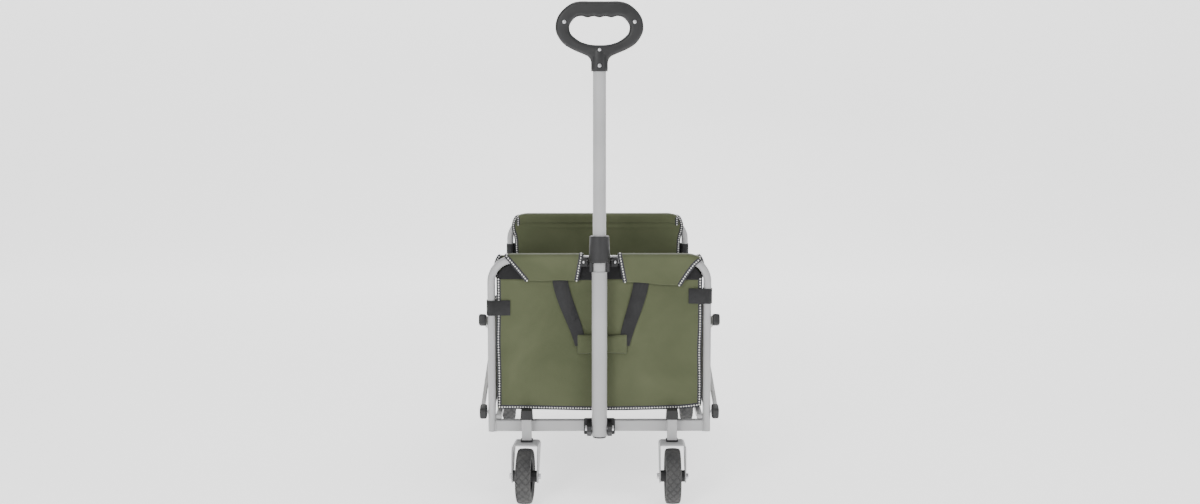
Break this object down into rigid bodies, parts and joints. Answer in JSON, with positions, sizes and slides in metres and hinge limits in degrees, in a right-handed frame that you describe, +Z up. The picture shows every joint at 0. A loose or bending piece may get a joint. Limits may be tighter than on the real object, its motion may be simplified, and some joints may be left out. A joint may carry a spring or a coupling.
{
  "type": "folding camp wagon",
  "caption": "Folding camp wagon with an olive fabric basket on a grey tube frame, swivelling front casters, fixed rear wheels and a telescopic pull handle.",
  "frame": {"origin": "on the ground under the centre of the wagon's outline, mid-way between its sides", "axes": "+X across the wagon, +Y from the handle end to the rear end, +Z up"},
  "size_m": [0.5394, 0.9898, 1.108],
  "materials": {
    "frame_steel": "light grey powder coat, satin",
    "fastener_steel": "zinc plated",
    "black_plastic": "moulded, fine grain",
    "grip_plastic": "moulded dark grey, satin",
    "tyre_rubber": "moulded tread",
    "olive_fabric": "coated polyester weave",
    "black_fabric": "coated polyester weave",
    "black_webbing": "woven webbing"
  },
  "bodies": {
    "front_frame": {"front_hoop": "frame_steel", "front_cross_bar": "frame_steel", "front_pivot_bolts": "fastener_steel", "caster_posts": "frame_steel", "caster_post_caps": "black_plastic", "caster_bushes": "black_plastic", "handle_bracket": "black_plastic", "handle_pivot_bolt": "fastener_steel", "handle_clip": "black_plastic", "handle_clip_rivets": "fastener_steel", "front_panel": "olive_fabric", "front_lining": "black_fabric", "front_flap_left": "olive_fabric", "front_flap_right": "olive_fabric", "front_post_straps": "black_webbing", "front_carry_strap": "black_webbing", "front_carry_sleeve": "olive_fabric", "side_panel_left": "olive_fabric", "side_panel_right": "olive_fabric"},
    "floor_front": {"floor_rails_front": "frame_steel", "floor_board_front": "black_fabric", "centre_hinge_rod": "fastener_steel", "fold_pull_strap": "black_webbing"},
    "floor_rear": {"floor_rails_rear": "frame_steel", "floor_board_rear": "black_fabric"},
    "rear_frame": {"rear_hoop": "frame_steel", "rear_cross_bar": "frame_steel", "rear_axle_brackets": "frame_steel", "rear_bolts": "fastener_steel", "rear_panel": "olive_fabric", "rear_flap": "olive_fabric", "rear_post_straps": "black_webbing", "rear_carry_strap": "black_webbing", "rear_carry_sleeve": "olive_fabric"},
    "bars_front_hinged": {"side_bars_outer": "frame_steel", "side_bar_caps_outer": "black_plastic", "cross_rivets": "fastener_steel"},
    "bars_rear_hinged": {"side_bars_inner": "frame_steel", "side_bar_caps_inner": "black_plastic"},
    "handle": {"handle_outer_tube": "frame_steel", "handle_end_plug": "black_plastic", "handle_collar": "grip_plastic"},
    "handle_top": {"handle_inner_tube": "frame_steel", "grip_front_shell": "grip_plastic", "grip_rear_shell": "grip_plastic", "grip_rivets": "fastener_steel"},
    "button": {"lock_button": "grip_plastic"},
    "caster_left": {"caster_fork_left": "frame_steel", "caster_axle_left": "fastener_steel"},
    "caster_right": {"caster_fork_right": "frame_steel", "caster_axle_right": "fastener_steel"},
    "wheel_front_left": {"front_tyre_left": "tyre_rubber", "front_rim_left": "black_plastic"},
    "wheel_front_right": {"front_tyre_right": "tyre_rubber", "front_rim_right": "black_plastic"},
    "wheel_rear_left": {"rear_tyre_left": "tyre_rubber", "rear_rim_left": "black_plastic"},
    "wheel_rear_right": {"rear_tyre_right": "tyre_rubber", "rear_rim_right": "black_plastic"}
  },
  "joints": [
    {"name": "fold", "type": "hinge", "parent": "front_frame", "child": "floor_front", "pos_m": [0, -0.37389, 0.184], "axis": [1, 0, 0], "range_deg": [0, 75], "deforming": ["side_panel_left", "side_panel_right"]},
    {"name": "fold_centre", "type": "hinge", "parent": "floor_front", "child": "floor_rear", "pos_m": [0, 0.05111, 0.184], "axis": [1, 0, 0], "range_deg": [-151, 1]},
    {"name": "fold_rear", "type": "hinge", "parent": "floor_rear", "child": "rear_frame", "pos_m": [0, 0.47611, 0.184], "axis": [1, 0, 0], "range_deg": [-1, 76]},
    {"name": "side_bars_swing_front", "type": "hinge", "parent": "front_frame", "child": "bars_front_hinged", "pos_m": [0, -0.37389, 0.195], "axis": [1, 0, 0], "range_deg": [-1, 75]},
    {"name": "side_bars_swing_rear", "type": "hinge", "parent": "rear_frame", "child": "bars_rear_hinged", "pos_m": [0, 0.47611, 0.195], "axis": [1, 0, 0], "range_deg": [-75, 1]},
    {"name": "handle_tilt", "type": "hinge", "parent": "front_frame", "child": "handle", "pos_m": [0, -0.41799, 0.168], "axis": [1, 0, 0], "range_deg": [0, 95]},
    {"name": "handle_telescope", "type": "slide", "parent": "handle", "child": "handle_top", "axis": [0, 0, -1], "range_m": [0, 0.28]},
    {"name": "lock_button_press", "type": "slide", "parent": "handle", "child": "button", "axis": [0, -1, 0], "range_m": [0, 0.003], "stiffness_N_per_m": 600},
    {"name": "caster_swivel_left", "type": "hinge", "parent": "front_frame", "child": "caster_left", "pos_m": [-0.163, -0.39491, 0.15], "axis": [0, 0, 1], "continuous": true},
    {"name": "caster_swivel_right", "type": "hinge", "parent": "front_frame", "child": "caster_right", "pos_m": [0.163, -0.39491, 0.15], "axis": [0, 0, 1], "continuous": true},
    {"name": "wheel_spin_front_left", "type": "hinge", "parent": "caster_left", "child": "wheel_front_left", "pos_m": [-0.16565, -0.43282, 0.062], "axis": [0.9976, -0.0698, 0], "continuous": true},
    {"name": "wheel_spin_front_right", "type": "hinge", "parent": "caster_right", "child": "wheel_front_right", "pos_m": [0.163, -0.43291, 0.062], "axis": [1, 0, 0], "continuous": true},
    {"name": "wheel_spin_rear_left", "type": "hinge", "parent": "rear_frame", "child": "wheel_rear_left", "pos_m": [-0.243, 0.39111, 0.062], "axis": [1, 0, 0], "continuous": true},
    {"name": "wheel_spin_rear_right", "type": "hinge", "parent": "rear_frame", "child": "wheel_rear_right", "pos_m": [0.243, 0.39111, 0.062], "axis": [1, 0, 0], "continuous": true}
  ],
  "couplings": [
    {"joint": "fold_centre", "follows": "fold", "ratio": -2},
    {"joint": "fold_rear", "follows": "fold", "ratio": 1},
    {"joint": "side_bars_swing_front", "follows": "fold", "ratio": 0.82094},
    {"joint": "side_bars_swing_rear", "follows": "fold", "ratio": -0.82094}
  ]
}
